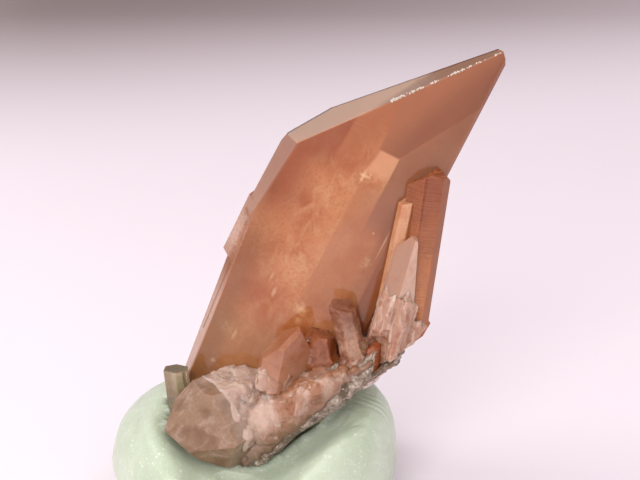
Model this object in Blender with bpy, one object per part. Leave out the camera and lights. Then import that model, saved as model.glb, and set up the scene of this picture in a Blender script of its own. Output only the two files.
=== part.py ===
"""Quartz point: a leaning milky orange quartz crystal with its small neighbours on a piece of matrix,
standing in a mound of pale green putty.  Metres, +Z up, the putty's flat base centred on the origin."""
import bpy
import bmesh
from math import radians, sin, cos, exp, log, pi
from mathutils import Matrix, Vector, noise

# ---------------------------------------------------------------- sizes, in millimetres and degrees
MM = 0.001                      # one millimetre in metres
GAP = 0.3                       # clearance kept between neighbouring pieces
BLANK = 120.0                   # side of the block each crystal is cut from
RHOMB = 38.2                    # rise of a quartz point's end faces above the prism faces' normals
WELD = 0.00002                  # corners closer than this are one corner, in metres

PUTTY_RADIUS = 17.0             # half width of the putty mound
PUTTY_WAIST = 4.5               # height of its widest ring
PUTTY_CROWN = 9.2               # rise of the crown above the widest ring
PUTTY_SQUARE = 3.2              # 2 is a round crown, larger has fuller shoulders
PUTTY_TILT = 0.0101             # share the crown gains for each millimetre toward +X
PUTTY_SMOOTH = 5                # times the pressed crown is smoothed
PUTTY_FOOT_RADIUS = 13.6        # radius of the flat base
PUTTY_SIDES = 56                # facets round the mound
PUTTY_CROWN_RINGS = 15          # rings from the widest ring up to the top
PUTTY_LEAST_CROWN = 0.02        # share of the crown left under the deepest press
PUTTY_RIM = 0.01                # height over the waist from which the crown is smoothed
PUTTY_SIDE_RINGS = 4            # rings from the flat base out to the widest ring
PRESS_LOW = 4.7                 # lowest height the crystals press the putty's front down to
PRESS_RIGHT = 1.5               # where the hollow starts to climb to the right
PRESS_SLOPE = 0.8156            # how steeply it climbs there, rise over run
PRESS_LEFT = -3.0               # where it starts to climb to the left
PRESS_LEFT_RISE = 6.75          # its climb on the left over the next PRESS_LEFT_RUN
PRESS_LEFT_RUN = 8.0
PRESS_FRONT = -7.0              # in front of this line the putty is pressed fully down
PRESS_BACK = -1.0               # behind this line it keeps its own dome
PRESS_SOFT = 0.8                # softness of the hollow's rim

ROCK_SQUARE = 3.2               # 2 is an ellipsoid, larger is boxier
ROCK_DETAIL = 4                 # times a lump's faces are divided
ROCK_LUMPS = ((0.60, 0.17), (0.42, 0.45), (0.24, 1.0))   # height of the rough lumps in mm, and lumps per mm
SLAB = {"at": (8.1, -1.2, 14.1), "half": (14.5, 8.0, 2.0), "lean": 39.2, "seed": 3.0}
BED = {"at": (5.6, -6.3, 13.7), "half": (6.8, 3.9, 2.9), "lean": 33.0, "seed": 8.0}

GROOVE_LENGTH = 8.6             # open groove along the main crystal's left face
GROOVE_WIDTH = 0.34
GROOVE_DEPTH = 1.6
GROOVE_AT = (-9.6, -3.4, -10.0)  # middle of the groove in the main crystal's own frame
GROOVE_TURN = 16.0              # the left face looks this far round from -X

# ---------------------------------------------------------------- start clean
for old in list(bpy.data.objects):
    bpy.data.objects.remove(old, do_unlink=True)

parts = bpy.data.collections.new("quartz_point")
cutters = bpy.data.collections.new("cutters")
bpy.context.scene.collection.children.link(parts)
bpy.context.scene.collection.children.link(cutters)


def material(name, colour, roughness):
    """a plain Principled material"""
    made = bpy.data.materials.new(name)
    made.use_nodes = True
    shader = made.node_tree.nodes["Principled BSDF"]
    shader.inputs["Base Color"].default_value = (*colour, 1.0)
    shader.inputs["Roughness"].default_value = roughness
    shader.inputs["Metallic"].default_value = 0.0
    return made


# ---------------------------------------------------------------- crystals
# Each crystal is a block cut by flat faces.  A face is (azimuth, rise, distance): azimuth round the
# crystal's own long axis, rise above its waist, distance out from its middle.  The crystal is then
# leaned by `lean` degrees toward the compass heading `toward` (0 is +X, 90 is +Y) and set at `at`.
CRYSTALS = {
    "main_crystal": {
        "at": (9.0, 3.0, 29.0), "lean": 26.0, "toward": 0.0,
        "colour": (0.56, 0.25, 0.13), "roughness": 0.12,
        "faces": [
            (-100.0, 0.0, 6.0),         # broad front prism face
            (-40.0, 0.0, 9.8),          # narrow right front prism face
            (20.0, 0.0, 4.3),           # right back prism face
            (80.0, 0.0, 1.8),           # back prism face
            (140.0, -5.9, 7.57),        # left back prism face
            (-164.0, -3.8, 11.1),       # left prism face, below
            (-164.8, 6.1, 11.23),       # left prism face, above
            (-167.4, 37.0, 14.4),       # broad end face
            (140.0, 21.8, 11.25),       # left back end face
            (80.0, 16.3, 3.88),         # back end face
            (20.0, RHOMB, 21.0),        # right back end face
            (0.0, 12.0, 13.6),          # chipped tip
            (0.0, -90.0, 24.8),         # broken foot
            (0.0, -26.0, 11.1),         # underside grown on the matrix
        ],
    },
    "side_crystal": {
        "at": (19.0, -4.6, 30.8), "lean": 7.5, "toward": 0.0,
        "colour": (0.46, 0.17, 0.07), "roughness": 0.2,
        "faces": [
            (-82.0, 0.0, 2.2), (-22.0, 0.0, 1.85), (38.0, 0.0, 1.75),
            (98.0, 0.0, 2.0), (158.0, 0.0, 2.1), (218.0, 0.0, 2.0),
            (175.0, 52.0, 7.3), (-40.0, 62.0, 8.7), (10.0, 50.0, 7.7), (80.0, 60.0, 8.5),
            (0.0, -44.5, 7.1),
        ],
    },
    "peach_crystal": {
        "at": (16.4, -5.0, 31.0), "lean": 11.0, "toward": 0.0,
        "colour": (0.74, 0.42, 0.25), "roughness": 0.25,
        "faces": [
            (-100.0, 0.0, 1.1), (-40.0, 0.0, 1.0), (20.0, 0.0, 0.9),
            (80.0, 0.0, 1.0), (140.0, 0.0, 0.9), (200.0, 0.0, 1.0),
            (-160.0, 66.0, 5.3),
            (0.0, -41.0, 8.2),
        ],
    },
    "pale_crystal": {
        "at": (16.8, -6.9, 28.6), "lean": 15.0, "toward": 0.0,
        "colour": (0.66, 0.45, 0.38), "roughness": 0.22,
        "faces": [
            (-118.0, 0.0, 1.55), (-58.0, 0.0, 1.5), (2.0, 13.0, 1.4),
            (62.0, 0.0, 1.3), (122.0, 0.0, 1.4), (182.0, 0.0, 1.6),
            (152.0, 40.0, 2.9), (-10.0, 60.0, 4.2),
            (0.0, -37.0, 4.4),
        ],
    },
    "stubby_crystal": {
        "at": (-1.5, -5.5, 10.3), "lean": 103.2, "toward": 216.4,
        "colour": (0.44, 0.26, 0.19), "roughness": 0.25,
        "faces": [
            (334.0, 0.0, 3.7), (34.0, 0.0, 6.6), (94.0, 0.0, 5.8),
            (154.0, 0.0, 4.6), (214.0, 0.0, 4.3), (274.0, 0.0, 3.2),
            (334.0, RHOMB, 4.8), (34.0, RHOMB, 7.0), (94.0, RHOMB, 7.8),
            (274.0, RHOMB, 4.6), (214.0, RHOMB, 4.9),
            (0.0, -90.0, 7.5),          # broken end inside the cluster
            (196.5, 55.2, 5.8),         # worn lower corner, left
            (216.5, 27.6, 4.6),         # worn lower corner, below
            (-121.1, -17.6, 4.0),       # underside grown on the matrix
            (25.3, -8.5, 5.4),          # broken top
        ],
    },
    "peaked_crystal": {
        "at": (4.3, -7.4, 18.6), "lean": 12.0, "toward": 0.0,
        "colour": (0.50, 0.24, 0.14), "roughness": 0.2,
        "faces": [
            (-112.0, 0.0, 2.1), (-52.0, 0.0, 0.9), (8.0, 0.0, 2.0),
            (68.0, 0.0, 2.4), (128.0, 0.0, 2.6), (188.0, 0.0, 3.2),
            (188.0, RHOMB, 2.6), (-112.0, RHOMB, 2.85), (8.0, RHOMB, 2.8), (68.0, RHOMB, 2.85),
            (0.0, -40.0, 4.7), (0.0, -90.0, 3.4),
        ],
    },
    "red_crystal": {
        "at": (7.7, -5.4, 19.2), "lean": 8.0, "toward": 180.0,
        "colour": (0.42, 0.15, 0.07), "roughness": 0.25,
        "faces": [
            (-95.0, 0.0, 1.6), (-35.0, 0.0, 1.8), (25.0, 0.0, 1.6),
            (85.0, 0.0, 1.6), (145.0, 0.0, 1.7), (205.0, 0.0, 1.9),
            (-150.0, 60.0, 2.0), (0.0, 74.0, 2.1),
            (0.0, -60.0, 3.7),
        ],
    },
    "broken_crystal": {
        "at": (10.7, -6.7, 22.6), "lean": 13.0, "toward": 180.0,
        "colour": (0.50, 0.28, 0.19), "roughness": 0.25,
        "faces": [
            (-82.0, 0.0, 1.4), (-22.0, 0.0, 1.3), (38.0, 0.0, 1.3),
            (98.0, 0.0, 1.4), (158.0, 0.0, 1.3), (218.0, 0.0, 1.3),
            (-150.0, 70.0, 3.0), (-30.0, 64.0, 2.25),
            (0.0, -65.0, 5.4),
        ],
    },
    "amber_crystal": {
        "at": (13.4, -6.8, 20.0), "lean": 5.0, "toward": 0.0,
        "colour": (0.40, 0.11, 0.03), "roughness": 0.15,
        "faces": [
            (-90.0, 0.0, 0.85), (-30.0, 0.0, 0.8), (30.0, 0.0, 0.8),
            (90.0, 0.0, 0.85), (150.0, 0.0, 0.8), (210.0, 0.0, 0.8),
            (150.0, 45.0, 1.5), (-30.0, 45.0, 1.35), (-100.0, 60.0, 1.9),
            (0.0, -47.0, 2.4),
        ],
    },
    "inner_root_crystal": {
        "at": (16.5, -7.4, 23.8), "lean": 14.0, "toward": 0.0,
        "colour": (0.68, 0.50, 0.42), "roughness": 0.35,
        "faces": [
            (-104.0, 0.0, 1.6), (-44.0, 0.0, 1.4), (16.0, 0.0, 1.4),
            (76.0, 0.0, 1.5), (136.0, 0.0, 1.4), (196.0, 0.0, 1.5),
            (160.0, 50.0, 2.0), (-10.0, 60.0, 2.4),
            (0.0, -38.0, 3.0),
        ],
    },
    "outer_root_crystal": {
        "at": (18.5, -7.0, 22.0), "lean": 10.0, "toward": 0.0,
        "colour": (0.66, 0.48, 0.42), "roughness": 0.35,
        "faces": [
            (-80.0, 0.0, 1.1), (-20.0, 0.0, 1.1), (40.0, 0.0, 1.2),
            (100.0, 0.0, 1.1), (160.0, 0.0, 1.1), (220.0, 0.0, 1.1),
            (170.0, 62.0, 1.2), (-20.0, 40.0, 1.05),
            (0.0, -42.0, 1.7),
        ],
    },
    "clear_crystal": {
        "at": (-8.7, -3.2, 14.4), "lean": 6.0, "toward": 180.0,
        "colour": (0.52, 0.47, 0.38), "roughness": 0.1,
        "faces": [
            (-62.0, 0.0, 1.45), (-2.0, 0.0, 1.3), (58.0, 0.0, 1.3),
            (118.0, 0.0, 1.4), (178.0, 0.0, 1.35), (238.0, 0.0, 1.35),
            (0.0, 84.0, 1.95), (0.0, -90.0, 3.2),
        ],
    },
}
# growth plate standing proud on the main crystal's left face, in the main crystal's frame
PLATE_FACES = [
    (-100.0, 0.0, 4.9), (140.0, 0.0, 8.4), (-163.0, 0.0, 11.1), (17.0, 0.0, -8.6),
    (-163.0, 42.0, 9.5), (-163.0, -66.0, 9.35),
]


def face_normal(azimuth, rise):
    """unit vector out of a face, in the crystal's own frame"""
    a = radians(azimuth)
    r = radians(rise)
    return Vector((cos(a) * cos(r), sin(a) * cos(r), sin(r)))


def leaned(lean, toward):
    """turn that leans an upright crystal toward a compass heading"""
    heading = Matrix.Rotation(radians(toward), 4, "Z")
    return heading @ Matrix.Rotation(radians(lean), 4, "Y") @ heading.inverted()


def cut_block(faces, grow):
    """a block cut down to the given flat faces, each moved out by `grow` mm"""
    bm = bmesh.new()
    bmesh.ops.create_cube(bm, size=BLANK * MM)
    for azimuth, rise, distance in faces:
        normal = face_normal(azimuth, rise)
        everything = bm.verts[:] + bm.edges[:] + bm.faces[:]
        cut = bmesh.ops.bisect_plane(
            bm, geom=everything, plane_co=normal * (distance + grow) * MM, plane_no=normal, clear_outer=True)
        rim = [e for e in cut["geom_cut"] if isinstance(e, bmesh.types.BMEdge)]
        bmesh.ops.edgeloop_fill(bm, edges=rim)
    bmesh.ops.remove_doubles(bm, verts=bm.verts[:], dist=WELD)
    bmesh.ops.recalc_face_normals(bm, faces=bm.faces[:])
    return bm


def as_object(name, bm, place, collection):
    """an object from a finished bmesh, set at `place`"""
    mesh = bpy.data.meshes.new(name)
    bm.to_mesh(mesh)
    bm.free()
    made = bpy.data.objects.new(name, mesh)
    made.matrix_world = place
    collection.objects.link(made)
    if collection is cutters:
        made.hide_render = True
        made.display_type = "WIRE"
    return made


def boolean(target, tool, operation):
    """keep an exact boolean on the target"""
    step = target.modifiers.new(tool.name, "BOOLEAN")
    step.object = tool
    step.operation = operation
    step.solver = "EXACT"


def settle(target):
    """work the booleans out and keep the one largest body"""
    bpy.context.view_layer.update()
    seen = target.evaluated_get(bpy.context.evaluated_depsgraph_get())
    bm = bmesh.new()
    bm.from_mesh(seen.to_mesh())
    seen.to_mesh_clear()
    bmesh.ops.remove_doubles(bm, verts=bm.verts[:], dist=WELD)
    bmesh.ops.dissolve_degenerate(bm, edges=bm.edges[:], dist=WELD)
    left = set(bm.faces)
    bodies = []
    while left:
        body = {left.pop()}
        growing = list(body)
        while growing:
            face = growing.pop()
            for other in [f for edge in face.edges for f in edge.link_faces if f in left]:
                left.discard(other)
                body.add(other)
                growing.append(other)
        bodies.append(body)
    largest = max(bodies, key=lambda b: sum(f.calc_area() for f in b))
    scraps = [f for b in bodies if b is not largest for f in b]
    bmesh.ops.delete(bm, geom=scraps, context="FACES")
    bmesh.ops.recalc_face_normals(bm, faces=bm.faces[:])
    target.modifiers.clear()
    bm.to_mesh(target.data)
    bm.free()
    return target


clearance = {}                  # each finished piece's cutter, a little larger all round


def crystal(name, spec, avoid):
    """one crystal, stopped short of the pieces in `avoid`, with its own clearance cutter"""
    place = Matrix.Translation(Vector(spec["at"]) * MM) @ leaned(spec["lean"], spec["toward"])
    made = as_object(name, cut_block(spec["faces"], 0.0), place, parts)
    made.data.materials.append(material(name, spec["colour"], spec["roughness"]))
    clearance[name] = as_object(name + "_clearance", cut_block(spec["faces"], GAP), place, cutters)
    for other in avoid:
        boolean(made, clearance[other], "DIFFERENCE")
    return made


finished = []
for name, spec in CRYSTALS.items():
    piece = crystal(name, spec, finished)
    if name == "main_crystal":
        home = piece.matrix_world.copy()
        plate = as_object("growth_plate", cut_block(PLATE_FACES, 0.0), home, cutters)
        boolean(piece, plate, "UNION")
        slot = bmesh.new()
        bmesh.ops.create_cube(slot, size=MM)
        turn = Matrix.Rotation(radians(GROOVE_TURN), 4, "Z")
        size = Matrix.Diagonal((GROOVE_DEPTH, GROOVE_WIDTH, GROOVE_LENGTH, 1.0))
        bmesh.ops.transform(slot, matrix=Matrix.Translation(Vector(GROOVE_AT) * MM) @ turn @ size, verts=slot.verts[:])
        boolean(piece, as_object("groove", slot, home, cutters), "DIFFERENCE")
    settle(piece)
    finished.append(name)


# ---------------------------------------------------------------- matrix
def lumps(point, seed):
    """height of the broken rock's lumps at a point given in millimetres"""
    height = 0.0
    for size, count in ROCK_LUMPS:
        height += size * noise.noise(point * count + Vector((seed, 2.0 * seed, 0.5 * seed)))
    return height


def lump_of_rock(shape, grow):
    """one rough lump of rock, moved out by `grow` mm, and where it lies"""
    bm = bmesh.new()
    bmesh.ops.create_icosphere(bm, subdivisions=ROCK_DETAIL, radius=1.0)
    half = Vector(shape["half"])
    for corner in bm.verts:
        way = corner.co.normalized()
        reach = sum(abs(c) ** ROCK_SQUARE for c in way) ** (-1.0 / ROCK_SQUARE)
        point = Vector((way.x * half.x, way.y * half.y, way.z * half.z)) * reach
        out = Vector((way.x / half.x, way.y / half.y, way.z / half.z)).normalized()
        corner.co = (point + out * (lumps(point, shape["seed"]) + grow)) * MM
    place = Matrix.Translation(Vector(shape["at"]) * MM) @ Matrix.Rotation(-radians(shape["lean"]), 4, "Y")
    return bm, place


def rock(name, grow, collection):
    """the slab and the bed of crystal rubble on it, as one rough body"""
    made = as_object(name, *lump_of_rock(SLAB, grow), collection)
    boolean(made, as_object(name + "_bed", *lump_of_rock(BED, grow), cutters), "UNION")
    return settle(made)


matrix_rock = rock("matrix_rock", 0.0, parts)
matrix_rock.data.materials.append(material("matrix_rock", (0.20, 0.15, 0.12), 0.85))
clearance["matrix_rock"] = rock("matrix_rock_clearance", GAP, cutters)
for other in finished:
    boolean(matrix_rock, clearance[other], "DIFFERENCE")
settle(matrix_rock)
finished.append("matrix_rock")


# ---------------------------------------------------------------- putty mound
def pressed(x):
    """height of the hollow's floor across the mound, in millimetres"""
    floor = PRESS_LOW
    if x > PRESS_RIGHT:
        floor += PRESS_SLOPE * (x - PRESS_RIGHT)
    if x < PRESS_LEFT:
        floor += PRESS_LEFT_RISE * ((x - PRESS_LEFT) / PRESS_LEFT_RUN) ** 2
    return floor


def soft_min(a, b):
    """the smaller of two heights, rounded where they meet"""
    low = min(a, b)
    return low - PRESS_SOFT * log(exp((low - a) / PRESS_SOFT) + exp((low - b) / PRESS_SOFT))


def putty_outline():
    """the mound's half section, from the middle of the base round to the top, as (radius, height)"""
    section = [(0.0, 0.0)]
    bulge = PUTTY_RADIUS - PUTTY_FOOT_RADIUS
    for step in range(PUTTY_SIDE_RINGS + 1):
        turn = pi / 2 * step / PUTTY_SIDE_RINGS
        section.append((PUTTY_FOOT_RADIUS + bulge * sin(turn), PUTTY_WAIST * (1.0 - cos(turn))))
    power = 2.0 / PUTTY_SQUARE
    for step in range(1, PUTTY_CROWN_RINGS):
        turn = pi / 2 * step / PUTTY_CROWN_RINGS
        section.append((PUTTY_RADIUS * cos(turn) ** power, PUTTY_WAIST + PUTTY_CROWN * sin(turn) ** power))
    section.append((0.0, PUTTY_WAIST + PUTTY_CROWN))
    return section


bm = bmesh.new()
line = [bm.verts.new((radius * MM, 0.0, height * MM)) for radius, height in putty_outline()]
for lower, upper in zip(line, line[1:]):
    bm.edges.new((lower, upper))
bmesh.ops.spin(bm, geom=bm.verts[:] + bm.edges[:], cent=(0, 0, 0), axis=(0, 0, 1), angle=2 * pi,
               steps=PUTTY_SIDES, use_merge=True)
bmesh.ops.remove_doubles(bm, verts=bm.verts[:], dist=WELD)
for corner in bm.verts:
    x, y, z = corner.co / MM
    if z > PUTTY_WAIST:
        share = min(1.0, max(0.0, (PRESS_BACK - y) / (PRESS_BACK - PRESS_FRONT)))
        share = share * share * (3.0 - 2.0 * share)
        crown = (z - PUTTY_WAIST) * (1.0 + PUTTY_TILT * x)
        low = max(soft_min(crown, pressed(x) - PUTTY_WAIST), PUTTY_LEAST_CROWN * crown)
        z = PUTTY_WAIST + crown + share * (low - crown)
    corner.co.z = z * MM
crown_corners = [v for v in bm.verts if v.co.z > (PUTTY_WAIST + PUTTY_RIM) * MM]
for _ in range(PUTTY_SMOOTH):
    bmesh.ops.smooth_vert(bm, verts=crown_corners, factor=0.5, use_axis_x=True, use_axis_y=True, use_axis_z=True)
bmesh.ops.recalc_face_normals(bm, faces=bm.faces[:])
putty_mound = as_object("putty_mound", bm, Matrix.Identity(4), parts)
putty_mound.data.materials.append(material("putty_mound", (0.61, 0.68, 0.54), 0.45))
for other in finished:
    boolean(putty_mound, clearance[other], "DIFFERENCE")
settle(putty_mound)
for face in putty_mound.data.polygons:
    face.use_smooth = True
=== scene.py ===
# %% [markdown]
# # Quartz point
# A leaning orange quartz crystal stands among its small neighbours on a strip of rock, pressed into a
# mound of pale green putty.  The fixed frame gives every solid its place and size; this script gives
# each one its surface: glassy faces with worn edges, broken sparkling rubble, rough rock, soft putty.

# %% Load the fixed frame
from math import cos, pi, radians, sin
import bmesh
import bpy
from mathutils import Matrix, Vector, noise
from mathutils.bvhtree import BVHTree


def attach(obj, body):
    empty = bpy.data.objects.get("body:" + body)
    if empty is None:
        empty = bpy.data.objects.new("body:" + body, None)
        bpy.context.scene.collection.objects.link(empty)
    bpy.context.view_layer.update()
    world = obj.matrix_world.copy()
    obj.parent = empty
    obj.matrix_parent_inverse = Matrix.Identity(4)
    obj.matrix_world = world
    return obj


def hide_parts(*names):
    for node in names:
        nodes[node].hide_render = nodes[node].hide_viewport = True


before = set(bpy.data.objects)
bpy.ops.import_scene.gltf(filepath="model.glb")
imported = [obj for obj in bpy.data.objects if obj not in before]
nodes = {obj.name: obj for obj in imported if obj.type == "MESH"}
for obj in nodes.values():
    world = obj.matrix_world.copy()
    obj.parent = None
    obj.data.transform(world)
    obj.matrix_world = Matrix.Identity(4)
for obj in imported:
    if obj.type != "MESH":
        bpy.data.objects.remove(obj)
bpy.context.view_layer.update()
MM = 0.001
ROOT = "root"
print("solids in the frame:", len(nodes))

# %% Helpers for objects
def in_scene(name, data):
    """a new object with this data, linked into the scene"""
    made = bpy.data.objects.new(name, data)
    bpy.context.scene.collection.objects.link(made)
    return made


def mesh_of(name, bm):
    """a mesh from a bmesh, which is used up"""
    made = bpy.data.meshes.new(name)
    bm.to_mesh(made)
    bm.free()
    return made


# %% [markdown]
# ## Camera
# The camera stands in front of the broad face and looks down a little, with a long lens, the way a
# small specimen is looked at on a table.

# %% Camera
LENS = 85.0
SENSOR = 36.0
LOOK_AT = Vector((7.68, 7.70, 28.75)) * MM
LOOK_DOWN = radians(15.0)
DISTANCE = 181.3 * MM
NEAREST_SEEN = 5.0 * MM

camera_data = bpy.data.cameras.new("camera")
camera_data.lens = LENS
camera_data.sensor_width = SENSOR
camera_data.clip_start = NEAREST_SEEN
camera = in_scene("camera", camera_data)
back = Vector((0.0, -cos(LOOK_DOWN), sin(LOOK_DOWN)))
camera.location = LOOK_AT + back * DISTANCE
camera.rotation_euler = (-back).to_track_quat("-Z", "Y").to_euler()
bpy.context.scene.camera = camera

# %% [markdown]
# ## Light
# Quartz shows itself by what it lets through and what it mirrors, so it wants large soft lights.  One
# stands behind and to the left, where the end face and the left bevel mirror it.  The main one hangs
# over the front and lays the soft shadow back and to the right; it is kept out of mirrors, or the
# broad face would only show its glare.  One high on the left models the edges, and a small one on the
# right puts glints on the putty's shoulder.

# %% Lights
LAMPS_AIM = Vector((0.006, 0.0, 0.025))      # the middle of the specimen


def soft_lamp(name, place, size, watts, colour, mirrored=True):
    """a square soft light, aimed at the specimen; one that is not mirrored shows in no surface"""
    data = bpy.data.lights.new(name, "AREA")
    data.shape = "SQUARE"
    data.size = size
    data.energy = watts
    data.color = colour
    lamp = in_scene(name, data)
    lamp.location = place
    lamp.rotation_euler = (LAMPS_AIM - Vector(place)).to_track_quat("-Z", "Y").to_euler()
    lamp.visible_glossy = mirrored


soft_lamp("back_window", (-0.26, 0.48, 0.17), 0.30, 0.17, (1.0, 0.97, 0.97))
soft_lamp("high_left", (-0.26, -0.04, 0.30), 0.16, 0.35, (1.0, 0.99, 0.96))
soft_lamp("front_key", (-0.10, -0.37, 0.21), 0.16, 0.85, (1.0, 0.97, 0.95), mirrored=False)
soft_lamp("small_right", (0.24, 0.16, 0.34), 0.06, 0.06, (1.0, 0.98, 0.96))

# %% [markdown]
# ## Small helpers for materials
# A material here is a tree of nodes.  `put` adds one node with its settings; `feed` gives an input
# either a plain value or the output of another node, so each material reads as a short recipe.
# `paint` turns a colour as a paint chart gives it, 0 to 255, into the light values Blender works with.

# %% Node helpers
def put(tree, kind, **settings):
    """a new node with the given settings"""
    made = tree.nodes.new(kind)
    for key, value in settings.items():
        setattr(made, key, value)
    return made


def feed(tree, socket, value):
    """link a node's output to a socket, or give the socket a plain value"""
    if isinstance(value, bpy.types.NodeSocket):
        tree.links.new(value, socket)
    else:
        socket.default_value = value


def sums(tree, operation, first, second=0.0, third=0.0):
    """one Math node"""
    made = put(tree, "ShaderNodeMath", operation=operation)
    for socket, value in zip(made.inputs, (first, second, third)):
        feed(tree, socket, value)
    return made.outputs["Value"]


def times(tree, *values):
    """product of several values"""
    result = values[0]
    for value in values[1:]:
        result = sums(tree, "MULTIPLY", result, value)
    return result


def inverse(tree, value):
    """one less the value"""
    return sums(tree, "SUBTRACT", 1.0, value)


MIX_SHARE, MIX_FIRST, MIX_SECOND, MIX_RESULT = 0, 6, 7, 2      # a Mix node's sockets for colours


def blend_colour(tree, share, first, second, mode="MIX"):
    """mix two colours"""
    made = put(tree, "ShaderNodeMix", data_type="RGBA", blend_type=mode)
    feed(tree, made.inputs[MIX_SHARE], share)
    feed(tree, made.inputs[MIX_FIRST], first)
    feed(tree, made.inputs[MIX_SECOND], second)
    return made.outputs[MIX_RESULT]


def stretch(tree, value, low, high, to_low=0.0, to_high=1.0):
    """map a value from one range to another, smoothly"""
    made = put(tree, "ShaderNodeMapRange", interpolation_type="SMOOTHSTEP")
    for socket, number in zip(made.inputs, (value, low, high, to_low, to_high)):
        feed(tree, socket, number)
    return made.outputs["Result"]


def split(tree, vector):
    """the parts of a vector, by the name of their axis"""
    made = put(tree, "ShaderNodeSeparateXYZ")
    feed(tree, made.inputs["Vector"], vector)
    return made.outputs


def vectors(tree, operation, first, second=None):
    """one Vector Math node"""
    made = put(tree, "ShaderNodeVectorMath", operation=operation)
    feed(tree, made.inputs[0], first)
    if second is not None:
        feed(tree, made.inputs["Scale" if operation == "SCALE" else 1], second)
    return made.outputs["Value" if operation in ("DOT_PRODUCT", "LENGTH") else "Vector"]


def noise_layer(tree, place, scale, detail, roughness=0.5, distortion=0.0, kind="3D"):
    """one noise texture; a 1D one takes a single number for its place"""
    made = put(tree, "ShaderNodeTexNoise", noise_dimensions=kind)
    feed(tree, made.inputs["W" if kind == "1D" else "Vector"], place)
    for label, value in (("Scale", scale), ("Detail", detail), ("Roughness", roughness),
                         ("Distortion", distortion)):
        feed(tree, made.inputs[label], value)
    return made.outputs["Fac"]


# %% [markdown]
# Effects that several materials share go into groups.  A group has named sockets, so a material says
# what it wants of it by name.

# %% Group helpers
def new_group(name, inputs, outputs, kind="ShaderNodeTree"):
    """an empty group with named sockets; returns it, what it is given, and what it gives back"""
    group = bpy.data.node_groups.new(name, kind)
    for label, socket_kind, value in inputs:
        socket = group.interface.new_socket(label, in_out="INPUT", socket_type=socket_kind)
        if value is not None:
            socket.default_value = value
    for label, socket_kind in outputs:
        group.interface.new_socket(label, in_out="OUTPUT", socket_type=socket_kind)
    given, result = group.nodes.new("NodeGroupInput"), group.nodes.new("NodeGroupOutput")
    return group, given.outputs, result.inputs


def use_group(tree, name, **values):
    """place a group in a material, with its inputs by name (underscores for spaces)"""
    made = put(tree, "ShaderNodeGroup", node_tree=bpy.data.node_groups[name])
    for label, value in values.items():
        feed(tree, made.inputs[label.replace("_", " ")], value)
    return made.outputs


def paint(red, green, blue):
    """a paint-chart colour in Blender's light values"""
    return (*[((c / 255.0 + 0.055) / 1.055) ** 2.4 for c in (red, green, blue)], 1.0)


FLOAT, COLOUR, VECTOR = "NodeSocketFloat", "NodeSocketColor", "NodeSocketVector"

# %% [markdown]
# ## Room
# The room is a plain pale world.  Its light depends only on direction: bright in front of the specimen,
# dimmer behind it, so that faces that mirror the far side stay deep in colour.

# %% World
ROOM_FRONT = 1.02
ROOM_BEHIND = 0.50
ROOM_COLOUR = (1.0, 0.95, 0.975, 1.0)

room = bpy.data.worlds.new("pale_room")
room.use_nodes = True
sky = room.node_tree
backdrop = sky.nodes["Background"]
away = split(sky, put(sky, "ShaderNodeTexCoord").outputs["Generated"])["Y"]
feed(sky, backdrop.inputs["Strength"], stretch(sky, away, -0.3, 0.9, ROOM_FRONT, ROOM_BEHIND))
feed(sky, backdrop.inputs["Color"], ROOM_COLOUR)
bpy.context.scene.world = room
bpy.context.scene.view_settings.view_transform = "Standard"

# %% [markdown]
# ## Effects that several materials share
# Each works in millimetres, on whatever vector it is given.

# %% Zone edge: a soft flat boundary, where a crystal paused as it grew and its colour changed
tree, gin, gout = new_group(
    "zone edge",
    [("Vector", VECTOR, None), ("Facing", VECTOR, (1.0, 0.0, 0.0)), ("Place", FLOAT, 0.0),
     ("Softness", FLOAT, 0.2)],
    [("Mask", FLOAT)])
along = vectors(tree, "DOT_PRODUCT", gin["Vector"], gin["Facing"])
past = sums(tree, "SUBTRACT", along, gin["Place"])
soft = stretch(tree, sums(tree, "DIVIDE", past, gin["Softness"]), -1.0, 1.0)
feed(tree, gout["Mask"], soft)

# %% Bright fleck: a ragged pale patch, partly a healed crack or bubble and partly painted glow from light inside
tree, gin, gout = new_group(
    "bright fleck",
    [("Vector", VECTOR, None), ("Middle", VECTOR, (0.0, 0.0, 0.0)), ("Reach", VECTOR, (1.0, 1.0, 1.0)),
     ("Ragged", FLOAT, 0.6)],
    [("Mask", FLOAT)])
away = vectors(tree, "SUBTRACT", gin["Vector"], gin["Middle"])
span = vectors(tree, "LENGTH", vectors(tree, "DIVIDE", away, gin["Reach"]))
frayed = noise_layer(tree, gin["Vector"], 2.6, 4.0, 0.7)
fray = sums(tree, "SUBTRACT", frayed, 0.5)
reach = sums(tree, "MULTIPLY_ADD", fray, times(tree, gin["Ragged"], 4.0), span)
feed(tree, gout["Mask"], stretch(tree, reach, 1.15, 0.0))

# %% Growth lines: the fine steps round a quartz prism, square to its length
tree, gin, gout = new_group(
    "growth lines",
    [("Vector", VECTOR, None), ("Pitch", FLOAT, 0.25), ("Wander", FLOAT, 0.15),
     ("Patchiness", FLOAT, 0.6)],
    [("Height", FLOAT)])
drift = noise_layer(tree, gin["Vector"], 0.35, 2.0)
level = sums(tree, "MULTIPLY_ADD", drift, gin["Wander"], split(tree, gin["Vector"])["Z"])
comb = noise_layer(tree, sums(tree, "DIVIDE", level, gin["Pitch"]), 1.0, 2.0, kind="1D")
fine = stretch(tree, comb, 0.35, 0.65)
gone = sums(tree, "SUBTRACT", stretch(tree, drift, 0.35, 0.62), 1.0)
kept = sums(tree, "MULTIPLY_ADD", gone, gin["Patchiness"], 1.0)
feed(tree, gout["Height"], times(tree, fine, kept))

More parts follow.
